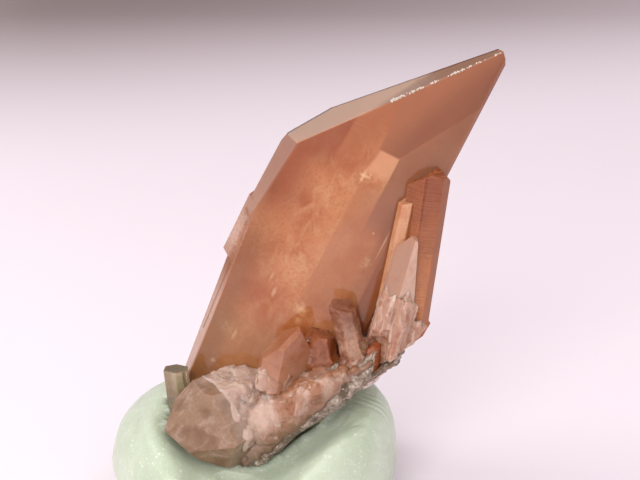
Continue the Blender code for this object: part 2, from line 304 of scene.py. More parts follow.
# %% Milky body: slow drifts of deeper colour, pale wisps, and a fine mottle
tree, gin, gout = new_group(
    "milky body",
    [("Vector", VECTOR, None), ("Body", COLOUR, (0.5, 0.2, 0.1, 1.0)),
     ("Deep", COLOUR, (0.4, 0.1, 0.05, 1.0)), ("Pale", COLOUR, (0.7, 0.5, 0.4, 1.0)),
     ("Cloud size", FLOAT, 4.0), ("Veil", FLOAT, 0.5), ("Draw out", VECTOR, (1.0, 1.0, 0.4)),
     ("Mottle", FLOAT, 0.3)],
    [("Color", COLOUR), ("Milk", FLOAT)])
drawn = vectors(tree, "MULTIPLY", gin["Vector"], gin["Draw out"])
cloud = noise_layer(tree, gin["Vector"], sums(tree, "DIVIDE", 1.0, gin["Cloud size"]), 4.0, 0.6)
wisp = noise_layer(tree, drawn, 0.62, 5.0, 0.62, 0.9)
speck = noise_layer(tree, gin["Vector"], 3.2, 2.0, 0.6)
paler = times(tree, stretch(tree, wisp, 0.44, 0.72), gin["Veil"])
dots = times(tree, stretch(tree, speck, 0.45, 0.70), gin["Mottle"])
body = blend_colour(tree, stretch(tree, cloud, 0.40, 0.66), gin["Body"], gin["Deep"])
body = blend_colour(tree, paler, body, gin["Pale"])
feed(tree, gout["Color"], blend_colour(tree, dots, body, gin["Deep"]))
feed(tree, gout["Milk"], paler)

# %% Grit: a broken, sugary surface, and a mask of the few grains that glint; the materials paint those grains paler, as painted glints
tree, gin, gout = new_group(
    "grit",
    [("Vector", VECTOR, None), ("Grain", FLOAT, 0.4), ("Sharpness", FLOAT, 0.5), ("Glints", FLOAT, 0.1)],
    [("Height", FLOAT), ("Glint", FLOAT)])
cells = put(tree, "ShaderNodeTexVoronoi", feature="F1", voronoi_dimensions="3D")
feed(tree, cells.inputs["Vector"], gin["Vector"])
feed(tree, cells.inputs["Scale"], sums(tree, "DIVIDE", 1.0, gin["Grain"]))
dust = noise_layer(tree, gin["Vector"], sums(tree, "DIVIDE", 0.6, gin["Grain"]), 5.0, 0.7)
sharp = times(tree, cells.outputs["Distance"], gin["Sharpness"])
feed(tree, gout["Height"], sums(tree, "ADD", sharp, dust))
shade = put(tree, "ShaderNodeSeparateColor")
feed(tree, shade.inputs["Color"], cells.outputs["Color"])
start = inverse(tree, gin["Glints"])
feed(tree, gout["Glint"], stretch(tree, shade.outputs["Red"], start, sums(tree, "ADD", start, 0.04)))
print("shared effects:", [g.name for g in bpy.data.node_groups])

# %% The two that nearly every material has
def milk(tree, here, body, deep, pale, size, veil, drawn, mottle):
    """the milky body, from paint-chart colours"""
    return use_group(tree, "milky body", Vector=here, Body=paint(*body), Deep=paint(*deep),
                     Pale=paint(*pale), Cloud_size=size, Veil=veil, Draw_out=drawn, Mottle=mottle)


def grit_with_painted_glints(tree, here, colour, shade, share, grain, glints):
    """a colour under grit whose glinting grains are painted paler, as painted glints; returns it, and the
    grit
    """
    grit_and_glints = use_group(tree, "grit", Vector=here, Grain=grain, Sharpness=0.9, Glints=glints)
    return blend_colour(tree, times(tree, grit_and_glints["Glint"], share), colour, paint(*shade)), grit_and_glints


# %% [markdown]
# ## Quartz
# Quartz bends light by 1.544.  This one is milky, so part of the light goes straight through, tinted by
# the glass, and part is scattered inside, which the shader's subsurface share stands for.  A Mapping
# node turns the pattern into the crystal's own frame, so bands run along and across the real crystal.

# %% Quartz finish
QUARTZ_IOR = 1.544
IRON_TINT = (0.96, 0.97, 0.83, 1.0)          # iron in the quartz takes away some blue
SCATTER_REACH = 1.4                          # millimetres that scattered light wanders, red the farthest
SCATTER_BY_COLOUR = (1.0, 0.5, 0.3)
SKIN_WEIGHT, SKIN_ROUGHNESS = 0.08, 0.04     # a thin bright skin over the milkier body


def start_material(name):
    """a new material and its node tree"""
    made = bpy.data.materials.new(name)
    made.use_nodes = True
    return made, made.node_tree


def own_frame(tree, middle=(0.0, 0.0, 0.0), lean=0.0, toward=0.0):
    """object coordinates turned into a crystal's own frame, in millimetres"""
    place = put(tree, "ShaderNodeTexCoord")
    frame_of = put(tree, "ShaderNodeMapping", vector_type="TEXTURE")
    frame_of.inputs["Location"].default_value = Vector(middle) * MM
    heading = Matrix.Rotation(radians(toward), 3, "Z")
    turn = heading @ Matrix.Rotation(radians(lean), 3, "Y") @ heading.transposed()
    frame_of.inputs["Rotation"].default_value = turn.to_euler("XYZ")
    frame_of.inputs["Scale"].default_value = (MM, MM, MM)
    tree.links.new(place.outputs["Object"], frame_of.inputs["Vector"])
    return frame_of.outputs["Vector"]


def bumped(tree, height, strength, step):
    """give a material's surface a relief, `step` millimetres high"""
    relief = put(tree, "ShaderNodeBump")
    relief.inputs["Strength"].default_value = strength
    relief.inputs["Distance"].default_value = step * MM
    feed(tree, relief.inputs["Height"], height)
    tree.links.new(relief.outputs["Normal"], tree.nodes["Principled BSDF"].inputs["Normal"])


def dress(tree, **values):
    """give a material's shader its values, by name (underscores for spaces)"""
    shader = tree.nodes["Principled BSDF"]
    for label, value in values.items():
        feed(tree, shader.inputs[label.replace("_", " ")], value)


def finish_quartz(tree, colour, roughness, height, clear, scatter, tint, density, bump, step=0.1):
    """the shader of a quartz material; `clear` and `scatter` are the shares of light that go through and
    that wander inside, and `tint` at `density` is what the light keeps on its way"""
    dress(tree, Base_Color=blend_colour(tree, 1.0, colour, IRON_TINT, "MULTIPLY"), Roughness=roughness,
          IOR=QUARTZ_IOR, Transmission_Weight=clear, Subsurface_Weight=scatter,
          Subsurface_Radius=SCATTER_BY_COLOUR, Subsurface_Scale=SCATTER_REACH * MM,
          Coat_Weight=SKIN_WEIGHT, Coat_Roughness=SKIN_ROUGHNESS)
    bumped(tree, height, bump, step)
    fog = put(tree, "ShaderNodeVolumeAbsorption")
    fog.inputs["Color"].default_value = (*tint, 1.0)
    fog.inputs["Density"].default_value = density
    tree.links.new(fog.outputs["Volume"], tree.nodes["Material Output"].inputs["Volume"])


# %% [markdown]
# ### The big crystal
# Its broad face looks into zones that meet on straight lines: a warm field on the left, a redder one under
# the tip, a greyer one behind the side crystal, and one light window where they meet.  They are partly the
# crystal's own colour zoning and partly a painted view of its back faces seen through it: the light window
# is painted light, the greyer field is a painted view of a darker back face, and the darker parts low on
# the right and under the tip are painted shade.  The lines run along the crystal or at the slope of its end
# faces, because they are old crystal faces and the back faces.  Each line is given by two points, in
# millimetres across and along the crystal from its middle.

# %% Big crystal: masks
MAIN_MIDDLE = (9.0, 3.0, 29.0)
MAIN_LEAN = 26.0
main_quartz, tree = start_material("milky_orange_quartz")
here = own_frame(tree, MAIN_MIDDLE, MAIN_LEAN)


def side_of(facing, place, softness):
    """mask of the side that `facing` points to, beyond `place`"""
    facing = Vector(facing).normalized()
    return use_group(tree, "zone edge", Vector=here, Facing=facing, Place=place, Softness=softness)["Mask"]


def right_of(line, softness):
    """mask of what lies right of a line, seen from the front, as one walks from its first point on"""
    (across, along), (next_across, next_along) = line
    step = Vector((next_across - across, 0.0, next_along - along)).normalized()
    facing = Vector((step.z, 0.0, -step.x))
    return side_of(facing, facing.dot(Vector((across, 0.0, along))), softness)


def left_of(line, softness):
    """mask of what lies left of a line"""
    return inverse(tree, right_of(line, softness))


def above(level, softness):
    """mask of what lies higher along the crystal than `level`"""
    return side_of((0.0, 0.0, 1.0), level, softness)


def below(level, softness):
    """mask of what lies lower along the crystal than `level`"""
    return inverse(tree, above(level, softness))


def either(first, second):
    """mask of what is in one of two masks"""
    return sums(tree, "MAXIMUM", first, second)


def fleck(middle, reach, ragged):
    """mask of one bright fleck"""
    return use_group(tree, "bright fleck", Vector=here, Middle=middle, Reach=reach, Ragged=ragged)["Mask"]


def lay(strength, shade, *masks):
    """lay one field of a paint-chart colour over what is there, where all the masks overlap"""
    global colour
    colour = blend_colour(tree, times(tree, *masks, strength), colour, paint(*shade))


# %% Big crystal: the fields
END_FACING = (-0.779, -0.174, 0.602)
LEFT_FACING = (-0.97, -0.25, 0.0)
UPPER_LEFT = ((-5.0, 11.0), (-4.9, 13.0))
MID_LEFT = ((-1.35, -3.0), (-1.2, 7.2))
MID_RIGHT = ((1.42, 5.0), (1.46, 14.0))
LOW_RIGHT_SHADE = ((4.6, 2.0), (4.5, 8.0))
TIP_LEFT = ((-0.97, 14.16), (-1.05, 18.75))
TIP_SLOPE = ((1.52, 14.10), (4.29, 18.81))
TIP_SHADE = ((2.0, 20.0), (4.6, 26.0))
LIT_WINDOW_LEFT = ((-1.2, 11.4), (-0.8, 13.9))
LIT_WINDOW_RIGHT = ((1.42, 5.0), (1.5, 14.0))
PATCH_LEFT = ((-5.6, -8.0), (-8.5, -2.0))
PATCH_RIGHT = ((-7.6, -8.0), (-10.6, -2.0))

clouds = milk(tree, here, (206, 138, 98), (178, 100, 58), (222, 168, 130), size=6.0, veil=0.5,
              drawn=(1.0, 1.0, 0.55), mottle=0.45)
colour = clouds["Color"]
near_end = side_of(END_FACING, 11.0, 2.4)
near_left = side_of(LEFT_FACING, 7.4, 2.4)
lay(0.86, (150, 72, 34), either(near_end, times(tree, near_left, above(2.0, 3.0))))
lay(0.70, (146, 84, 50), near_left, below(0.0, 4.0))
lay(0.35, (206, 132, 92), right_of(UPPER_LEFT, 0.2), near_end)
lay(0.62, (182, 118, 86), right_of(MID_LEFT, 0.14), below(9.6, 1.2), above(-5.5, 3.0))
# painted view through the crystal: the greyer field behind the side crystal, a darker back face
lay(0.85, (156, 99, 72), right_of(MID_RIGHT, 0.13), right_of(TIP_SLOPE, 0.16), above(5.4, 1.5))
# painted shade down the lower right of the broad face
lay(0.60, (150, 82, 50), right_of(LOW_RIGHT_SHADE, 0.2), below(9.0, 1.5))
under_tip = times(tree, right_of(TIP_LEFT, 0.14), left_of(TIP_SLOPE, 0.16), above(14.0, 0.25))
lay(0.80, (172, 106, 76), under_tip)
# painted shade in the right part of the field under the tip
lay(0.70, (140, 78, 50), under_tip, right_of(TIP_SHADE, 1.6))
# painted light: the light window, where light from behind comes through the crystal
lay(0.72, (228, 168, 136), right_of(LIT_WINDOW_LEFT, 0.28), left_of(LIT_WINDOW_RIGHT, 0.1),
    above(11.2, 0.5), below(13.98, 0.12))
lay(0.45, (170, 92, 44), right_of(PATCH_LEFT, 0.2), left_of(PATCH_RIGHT, 0.3),
    above(-8.0, 0.7), below(-2.9, 0.4))
print("fields of colour laid on the broad face")

# %% Big crystal: flecks, streaks and a hair-thin line, each (middle, reach, raggedness, strength); partly white inclusions, partly painted glow
FLECKS = (
    ((-1.20, -5.85, 10.45), (0.25, 1.2, 1.05), 0.5, 0.85),
    ((-1.10, -5.85, 10.60), (0.80, 1.2, 0.25), 0.5, 0.75),
    ((-0.55, -5.85, 11.0), (0.22, 0.8, 0.30), 0.5, 0.5),
    ((-0.70, -5.96, -6.5), (0.95, 1.0, 0.85), 0.55, 0.75),
    ((-0.40, -6.00, -7.9), (0.6, 1.0, 0.5), 0.6, 0.45),
    ((-6.15, -4.95, -12.9), (0.30, 1.0, 0.95), 0.25, 0.85),
    ((-4.30, -5.30, -6.2), (0.30, 1.0, 0.85), 0.35, 0.60),
    ((-5.30, -5.10, -4.7), (0.22, 1.0, 0.75), 0.3, 0.40),
    ((-7.10, -4.80, -16.9), (0.35, 1.0, 0.35), 0.6, 0.75),
    ((-7.30, -4.70, -12.6), (1.0, 1.0, 0.9), 0.9, 0.30),
    ((2.65, -6.5, 5.2), (0.16, 0.8, 0.20), 0.2, 0.70),
    ((3.4, -6.7, 2.0), (0.7, 1.0, 1.1), 0.9, 0.35),
    ((4.17, -6.8, 4.5), (0.10, 1.5, 2.2), 0.05, 0.75),
    ((-3.4, -5.5, -2.0), (1.3, 1.2, 2.0), 0.9, 0.25),
)
# painted glow: the flecks are laid pale, partly white inclusions and partly light caught inside the crystal
for middle, reach, ragged, strength in FLECKS:
    lay(strength, (240, 196, 160), fleck(middle, reach, ragged))
print("flecks:", len(FLECKS))

# %% Big crystal: foot, left bevel and end face, each plane (facing, place, softness); the paler and darker fields on bevel and end face are painted reflection
LEFT_BEVEL = (((-0.958, -0.261, 0.106), 11.05, 0.05), ((-0.959, -0.275, -0.066), 10.93, 0.05),
              ((-0.956, -0.292, 0.0), 10.9, 0.06))
END_SHADE = ((-9.0, 12.0), (-5.4, 17.3))
END_RIGHT = ((-3.65, 17.56), (-0.02, 22.9))

lay(0.45, (160, 116, 76), below(-10.5, 2.2), side_of((-1.0, 0.0, 0.0), -2.0, 1.5))
left_faces = side_of(*LEFT_BEVEL[0])
for plane in LEFT_BEVEL[1:]:
    left_faces = either(left_faces, side_of(*plane))
# painted reflection: the left bevel is painted paler, as it mirrors the pale room, deeper above, with a
# paler patch and foot
lay(0.75, (178, 124, 100), left_faces)
lay(0.75, (156, 88, 54), left_faces, above(4.0, 4.0))
lay(0.80, (226, 182, 172), left_faces, fleck((-11.4, -2.5, -2.6), (1.8, 5.0, 3.4), 0.5))
lay(0.75, (222, 180, 170), left_faces, below(-8.0, 2.5))
end_face = side_of(END_FACING, 14.28, 0.05)
dark_rim_reflection = either(side_of((-0.711, 0.597, 0.371), 10.9, 0.12), side_of((0.167, 0.945, 0.281), 3.55, 0.12))
# painted reflection: the end face is painted paler where it mirrors the back window, darker to the left and
# to the right
lay(0.80, (204, 166, 146), end_face)
lay(0.50, (180, 126, 100), end_face, left_of(END_SHADE, 2.5))
lay(0.85, (160, 116, 98), end_face, right_of(END_RIGHT, 0.15))
# painted reflection: a dark rim along the end face's far edge
lay(0.85, (84, 50, 34), end_face, dark_rim_reflection)
lines = use_group(tree, "growth lines", Vector=here, Pitch=0.9, Wander=1.6, Patchiness=0.9)
rough = sums(tree, "MULTIPLY_ADD", clouds["Milk"], 0.12, 0.06)
finish_quartz(tree, colour, rough, lines["Height"], clear=0.36, scatter=0.45, tint=(0.90, 0.58, 0.36),
              density=110.0, bump=0.08)

# %% [markdown]
# ### The small crystals
# They share one recipe with their own colours: a milky body, deeper toward one end, finely lined across.

# %% Small crystal materials
def small_quartz(name, middle, lean, toward, body, deep, pale, clear=0.25, pitch=0.4, lined=0.3,
                 foot_pale=0.0, top_deep=0.0, length=5.0, veil=0.5, tint=(0.85, 0.5, 0.3), density=120.0,
                 gloss=0.12, facet=None):
    """milky quartz with its own colours; `foot_pale` and `top_deep` shade it along its length, and
    `facet` gives the side at one azimuth and distance its own colour and added roughness"""
    made, tree = start_material(name)
    here = own_frame(tree, middle, lean, toward)
    clouds = milk(tree, here, body, deep, pale, size=2.2, veil=veil, drawn=(1.0, 1.0, 0.35), mottle=0.35)
    up = stretch(tree, split(tree, here)["Z"], -length, length)
    colour = blend_colour(tree, times(tree, up, top_deep), clouds["Color"], paint(*deep))
    colour = blend_colour(tree, times(tree, inverse(tree, up), foot_pale), colour, paint(*pale))
    lines = use_group(tree, "growth lines", Vector=here, Pitch=pitch, Wander=0.12, Patchiness=0.55)
    colour = blend_colour(tree, times(tree, lines["Height"], 0.25 * lined), colour, paint(*pale))
    rough = sums(tree, "MULTIPLY_ADD", clouds["Milk"], 0.20, gloss)
    if facet:
        azimuth, distance, shade, dulled = facet
        facing = (cos(radians(azimuth)), sin(radians(azimuth)), 0.0)
        on_side = use_group(tree, "zone edge", Vector=here, Facing=facing, Place=distance - 0.07,
                            Softness=0.04)["Mask"]
        colour = blend_colour(tree, times(tree, on_side, 0.8), colour, paint(*shade))
        rough = sums(tree, "MULTIPLY_ADD", on_side, dulled, rough)
    finish_quartz(tree, colour, rough, lines["Height"], clear, 0.45, tint, density, 0.55 * lined)
    return made


SMALL = {
    "side_crystal": small_quartz(
        "striated_orange_quartz", (19.0, -4.6, 30.8), 7.5, 0.0,
        (182, 102, 52), (134, 60, 22), (208, 146, 108), clear=0.12, pitch=0.13, lined=1.0, foot_pale=0.45,
        top_deep=0.85, length=7.5, veil=0.25, gloss=0.22, density=200.0,
        facet=(-22.0, 1.85, (160, 92, 58), 0.5)),
    "peach_crystal": small_quartz(
        "peach_quartz", (16.4, -5.0, 31.0), 11.0, 0.0,
        (224, 168, 136), (196, 130, 98), (236, 196, 168), top_deep=0.3),
    "pale_crystal": small_quartz(
        "pale_pink_quartz", (16.8, -6.9, 28.6), 15.0, 0.0,
        (218, 176, 164), (202, 154, 138), (236, 206, 198), foot_pale=0.3,
        # painted shade: the left facet is painted darker
        facet=(-118.0, 1.55, (172, 124, 106), 0.0)),
    "stubby_crystal": small_quartz(
        "grey_brown_quartz", (-1.5, -5.5, 10.3), 103.2, 216.4,
        (166, 130, 110), (138, 100, 76), (230, 204, 202), clear=0.30, pitch=0.8, lined=0.12, foot_pale=0.9,
        length=4.5, tint=(0.9, 0.75, 0.6), density=80.0, veil=0.35, gloss=0.08),
    "peaked_crystal": small_quartz(
        "brown_quartz", (4.3, -7.4, 18.6), 12.0, 0.0,
        (176, 108, 76), (150, 82, 50), (204, 158, 138), clear=0.3, foot_pale=0.6, length=4.0, veil=0.35),
    "red_crystal": small_quartz(
        "red_brown_quartz", (7.7, -5.4, 19.2), 8.0, 180.0,
        (164, 90, 54), (136, 62, 30), (200, 140, 108), clear=0.3, length=3.0, veil=0.35),
    "broken_crystal": small_quartz(
        "brown_grey_quartz", (10.7, -6.7, 22.6), 13.0, 180.0,
        (200, 154, 134), (140, 76, 50), (232, 200, 186), clear=0.35, top_deep=0.9, length=3.0, veil=0.6,
        tint=(0.9, 0.7, 0.55)),
    "amber_crystal": small_quartz(
        "amber_quartz", (13.4, -6.8, 20.0), 5.0, 0.0,
        (196, 104, 54), (166, 72, 30), (224, 150, 102), clear=0.35, length=2.0, veil=0.25),
    "clear_crystal": small_quartz(
        "clear_grey_quartz", (-8.7, -3.2, 14.4), 6.0, 180.0,
        (206, 190, 170), (178, 156, 132), (232, 226, 214), clear=0.75, pitch=0.7, length=2.0, veil=0.25,
        tint=(0.95, 0.93, 0.86), density=20.0, gloss=0.03),
}

# %% [markdown]
# ## Finishing the crystals
# The frame's solids keep a hair of room between them and have knife edges.  Real intergrown crystals
# share their contacts, and every edge is very slightly worn.  So each solid is copied, its loose
# triangles are merged into whole faces, and the free edges are bevelled by a few hundredths of a
# millimetre.  Four of them also have the faces that look at a close neighbour drawn out into it, and
# the pale one is cut off inside the root mass, where it would show through the amber crystal.

# %% Merged copies
WELD = 0.01 * MM
HAIR = 0.42 * MM                # no contact is wider than this
FLAT = radians(0.6)             # faces that meet at less than this are one face
SHARP = radians(4.0)            # and edges with more than this are worn
CRUMBLED = 0.002 * MM           # a bevel's corners that come closer than this are one corner


def merged_copy(name):
    """a frame node's mesh with its corners merged and its flat faces whole"""
    bm = bmesh.new()
    bm.from_mesh(nodes[name].data)
    bmesh.ops.remove_doubles(bm, verts=bm.verts[:], dist=WELD)
    bmesh.ops.dissolve_limit(bm, angle_limit=FLAT, verts=bm.verts[:], edges=bm.edges[:])
    bmesh.ops.recalc_face_normals(bm, faces=bm.faces[:])
    return bm


def neighbours_of(name):
    """a search tree over all the specimen's solids but one; the putty is never in it"""
    together = bmesh.new()
    for other in nodes:
        if other not in (name, "putty_mound"):
            together.from_mesh(nodes[other].data)
    made = BVHTree.FromBMesh(together)
    together.free()
    return made


def close_faces(bm, tree):
    """faces that lie within a hair of the solids in the search tree, and look at them"""
    found = []
    for face in bm.faces:
        middle = face.calc_center_median()
        probes = [middle] + [middle.lerp(v.co, 0.7) for v in face.verts]
        near = [p for p in probes if tree.ray_cast(p, face.normal, HAIR)[0] is not None]
        if len(near) > 0.7 * len(probes):
            found.append(face)
    return found


# %% Drawing contacts out, and wearing edges
def finished(name, bm, material, replaced, smooth=True):
    """a piece from a bmesh, in place of frame nodes"""
    if smooth:
        for face in bm.faces:
            face.smooth = True
    piece = in_scene(name, mesh_of(name, bm))
    piece.data.materials.append(material)
    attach(piece, ROOT)
    for node_name in replaced:
        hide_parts(node_name)
    print(name, "faces:", len(piece.data.polygons))
    return piece


def grown_into(bm, name):
    """draw the faces of a contact out into the neighbour; returns how many"""
    contacts = close_faces(bm, neighbours_of(name))
    if contacts:
        made = bmesh.ops.extrude_face_region(bm, geom=contacts)
        for corner in [g for g in made["geom"] if isinstance(g, bmesh.types.BMVert)]:
            corner.co += corner.normal * HAIR
        bmesh.ops.delete(bm, geom=[f for f in contacts if f.is_valid], context="FACES")
    return len(contacts)


def wear_edges(bm, wear):
    """bevel every sharp edge by `wear` millimetres"""
    bm.normal_update()
    sharp = [e for e in bm.edges if len(e.link_faces) == 2 and e.calc_face_angle(0.0) > SHARP]
    bmesh.ops.bevel(bm, geom=sharp, offset=wear * MM, segments=2, profile=0.5, affect="EDGES",
                    clamp_overlap=True)
    bmesh.ops.remove_doubles(bm, verts=bm.verts[:], dist=CRUMBLED)
    bmesh.ops.recalc_face_normals(bm, faces=bm.faces[:])


# %% The crystals with clean faces, and the wear of their edges in millimetres
CRISP = {"main_crystal": 0.07, "side_crystal": 0.10, "peach_crystal": 0.06, "pale_crystal": 0.06,
         "stubby_crystal": 0.10, "peaked_crystal": 0.09, "clear_crystal": 0.05}
SMALL["main_crystal"] = main_quartz
DRAWN = ("side_crystal", "peach_crystal", "peaked_crystal", "clear_crystal")
PALE_FOOT = Vector((15.1, -7.4, 23.6)) * MM        # the pale crystal ends here, inside the root mass
PALE_AXIS = Vector((0.26, 0.0, 0.966))
for name, wear in CRISP.items():
    bm = merged_copy(name)
    if name in DRAWN:
        print(name, "contacts:", grown_into(bm, name))
    if name == "pale_crystal":
        everything = bm.verts[:] + bm.edges[:] + bm.faces[:]
        bmesh.ops.bisect_plane(bm, geom=everything, plane_co=PALE_FOOT, plane_no=PALE_AXIS, clear_inner=True)
        bmesh.ops.holes_fill(bm, edges=[e for e in bm.edges if e.is_boundary], sides=0)
    wear_edges(bm, wear)
    finished(name + "_finished", bm, SMALL[name], [name], smooth=False)

# %% [markdown]
# ## Worn and broken crystals
# The smallest crystals are chipped and half dissolved.  A voxel remesh gives the frame's solid an even
# skin of small faces, and layered noise moves that skin in and out, so the faces stay but turn uneven.
# The skin is also drawn toward any close neighbour until the two meet.

# %% Even skins
def remeshed(bm, voxel):
    """a fresh even skin over a bmesh, which is used up, with faces of `voxel` millimetres"""
    holder = in_scene("skin", mesh_of("skin", bm))
    step = holder.modifiers.new("even", "REMESH")
    step.mode = "VOXEL"
    step.voxel_size = voxel * MM
    bpy.context.view_layer.update()
    seen = holder.evaluated_get(bpy.context.evaluated_depsgraph_get())
    made = bmesh.new()
    made.from_mesh(seen.to_mesh())
    seen.to_mesh_clear()
    bpy.data.objects.remove(holder)
    made.normal_update()
    return made


def even_skin(names, voxel):
    """frame nodes joined and remeshed into small even faces, as a bmesh"""
    bm = bmesh.new()
    for name in names:
        bm.from_mesh(nodes[name].data)
    bmesh.ops.remove_doubles(bm, verts=bm.verts[:], dist=WELD)
    return remeshed(bm, voxel)


def rough_noise(point, layers, seed=0.0):
    """sum of noise layers, each (height, lumps per millimetre), at a point in millimetres"""
    shift = Vector((7.0 + seed, 3.0, seed))
    return sum(height * noise.noise(point * count + shift * count) for height, count in layers)


def move_skin(bm, rise_at):
    """move every corner out along its normal by `rise_at(point)`, all in millimetres"""
    moves = [(v, v.normal * rise_at(v.co / MM) * MM) for v in bm.verts]
    for corner, move in moves:
        corner.co += move


def draw_toward(bm, tree, reach, overlap):
    """move corners that are near the solids in the search tree until they sink in by `overlap`"""
    for corner in bm.verts:
        found = tree.find_nearest(corner.co, reach * MM)
        if found[0] is not None:
            gap = found[0] - corner.co
            if gap.length > 0.01 * MM:
                corner.co += gap.normalized() * (gap.length + overlap * MM)


# %% The worn crystals, and the noise layers of each
WORN_VOXEL = 0.10
WORN_REACH, WORN_OVERLAP = 0.55, 0.12       # how far a skin looks for a neighbour, and sinks into it
WORN = {"red_crystal": ((0.10, 1.1), (0.05, 3.0)), "broken_crystal": ((0.20, 1.0), (0.08, 2.6)),
        "amber_crystal": ((0.14, 1.3), (0.06, 3.0))}
for count, (name, layers) in enumerate(WORN.items()):
    bm = even_skin([name], WORN_VOXEL)
    move_skin(bm, lambda point: rough_noise(point, layers, count))
    draw_toward(bm, neighbours_of(name), WORN_REACH, WORN_OVERLAP)
    finished(name + "_finished", bm, SMALL[name], [name])

# %% [markdown]
# ## Where rock ends and crust begins
# The strip is rock only underneath.  Above that it is a crust of fractured, milky pink quartz, which runs
# on over the back of the stubby crystal and buries the feet of the upright ones.  Both skins below ask
# one function how much crust there is at a point, so one stands out where the other dips away.

# %% Crust cover
UPWARD = Vector((-0.632, 0.0, 0.775))       # square to the sloping slab; heights below are along it
CRUST_FROM = 5.0                # the crust begins at this height
RIM_WIDENS = 0.11               # and this much higher for each millimetre right of RIM_FROM
RIM_FROM = 4.0
CRUST_TO = 11.8                 # it ends at this height where x is CRUST_TURN, lower to the right of it
CRUST_TURN = 3.0
STUB_AXIS = Vector((-0.784, -0.578, -0.228))
STUB_MIDDLE = Vector((-1.5, -5.5, 10.3))
STUB_CLEAN_FROM = 2.1           # beyond this along its axis, the stubby crystal is clean


def crust_cover(point):
    """how much crust there is at a point in millimetres, 0 to 1"""
    ragged = 0.6 * noise.noise(point * 0.8) + 0.08 * noise.noise(point * 2.3)
    height = UPWARD.dot(point)
    rim = CRUST_FROM + RIM_WIDENS * max(0.0, point.x - RIM_FROM)
    over_rock = (height - rim + ragged) / 0.7
    slope = 1.2 if point.x < CRUST_TURN else 0.5
    limit = CRUST_TO + slope * (CRUST_TURN - point.x)
    under_points = (limit - height + 1.4 * ragged) / 0.8
    behind_face = (STUB_CLEAN_FROM - STUB_AXIS.dot(point - STUB_MIDDLE) + 1.0 * ragged) / 0.5
    return max(0.0, min(1.0, over_rock, under_points, behind_face))


# %% Rock skin
ROCK_VOXEL = 0.20
ROCK_LAYERS = ((0.22, 0.9), (0.14, 2.2), (0.07, 5.0))
HIDE = 0.5                      # how far a skin dips away where another one shows


def rock_rise(point):
    """how far the rock's skin moves out at a point"""
    return rough_noise(point, ROCK_LAYERS) - 0.04 - HIDE * crust_cover(point)


rock_bm = even_skin(["matrix_rock"], ROCK_VOXEL)
move_skin(rock_bm, rock_rise)

# %% Its stone: dull grey-brown grains, a few of them smooth and painted paler, as painted glints
rock_stone, tree = start_material("granular_rock")
here = own_frame(tree)
body = milk(tree, here, (148, 130, 116), (96, 80, 66), (192, 176, 160), size=1.2, veil=0.8,
            drawn=(1.0, 1.0, 1.0), mottle=0.7)
# painted glints: the grit's glinting grains are painted paler
colour, grit_and_glints = grit_with_painted_glints(tree, here, body["Color"], (226, 210, 196), 0.5, grain=0.24, glints=0.07)
dress(tree, Base_Color=colour, Roughness=sums(tree, "MULTIPLY_ADD", grit_and_glints["Glint"], -0.45, 0.8))
bumped(tree, grit_and_glints["Height"], 0.8, 0.14)
finished("matrix_rock_finished", rock_bm, rock_stone, ["matrix_rock"])

# %% [markdown]
# ## Broken quartz crust
# The crust is a milky, half healed rubble: soft lumps a few millimetres across with worn facets on
# them.  Its skin is taken over the rock, the stubby crystal and the feet of the upright ones together,
# so it runs across their gaps, and each point is moved by the height of the worn facet it falls on.

# %% Crust skin
def facets(point, size, seed):
    """height of the tilted broken facet that a point in millimetres falls on"""
    shift = Vector((seed, seed, 0.0))
    spot = noise.voronoi(point / size + shift)[1][0]
    tilt = noise.cell_vector(spot * 37.0) - Vector((0.5, 0.5, 0.5))
    return 0.6 * noise.noise(spot * 5.1) + tilt.dot(point / size + shift - spot) * 1.6


def crust_rise(point):
    """how far the crust's skin moves out at a point: lumps and facets where there is crust"""
    cover = crust_cover(point)
    lumps = 0.26 * noise.noise(point * 0.5) + 0.12 * noise.noise(point * 1.6)
    lumps += 0.07 * noise.noise(point * 3.6)
    broken = 0.22 * facets(point, 1.5, 3.0) + 0.12 * facets(point, 0.7, 9.0)
    return cover * (0.16 + lumps + broken) - (1.0 - cover) * HIDE


def smoothed(bm, corners):
    """move corners halfway to the middle of their neighbours"""
    bmesh.ops.smooth_vert(bm, verts=corners, factor=0.5, use_axis_x=True, use_axis_y=True, use_axis_z=True)


CRUST_VOXEL = 0.16
CRUST_OVER = ["matrix_rock", "stubby_crystal", "peaked_crystal", "red_crystal", "broken_crystal"]
crust_bm = even_skin(CRUST_OVER, CRUST_VOXEL)
move_skin(crust_bm, crust_rise)
smoothed(crust_bm, crust_bm.verts[:])

# %% Its quartz: milky pink, whiter over the stubby crystal, browner where it meets the rock
crust_quartz, tree = start_material("broken_pink_quartz")
here = own_frame(tree)
body = milk(tree, here, (190, 136, 110), (168, 104, 72), (236, 208, 204), size=1.6, veil=0.75,
            drawn=(0.6, 0.6, 0.4), mottle=0.25)
whiter = stretch(tree, split(tree, here)["X"], 4.5, -1.5)
colour = blend_colour(tree, times(tree, whiter, 0.65), body["Color"], paint(238, 212, 212))
near_rock = use_group(tree, "zone edge", Vector=here, Facing=-UPWARD, Place=-6.8, Softness=1.3)["Mask"]
colour = blend_colour(tree, times(tree, near_rock, 0.85), colour, paint(134, 102, 84))
# painted glints: the grit's glinting grains are painted nearly white
colour, grit_and_glints = grit_with_painted_glints(tree, here, colour, (252, 242, 240), 0.35, grain=0.35, glints=0.035)
rough = sums(tree, "MULTIPLY_ADD", body["Milk"], 0.15, 0.08)
finish_quartz(tree, colour, rough, grit_and_glints["Height"], clear=0.35, scatter=0.5, tint=(0.97, 0.82, 0.72),
              density=40.0, bump=0.35)
crust = finished("quartz_crust", crust_bm, crust_quartz, [])

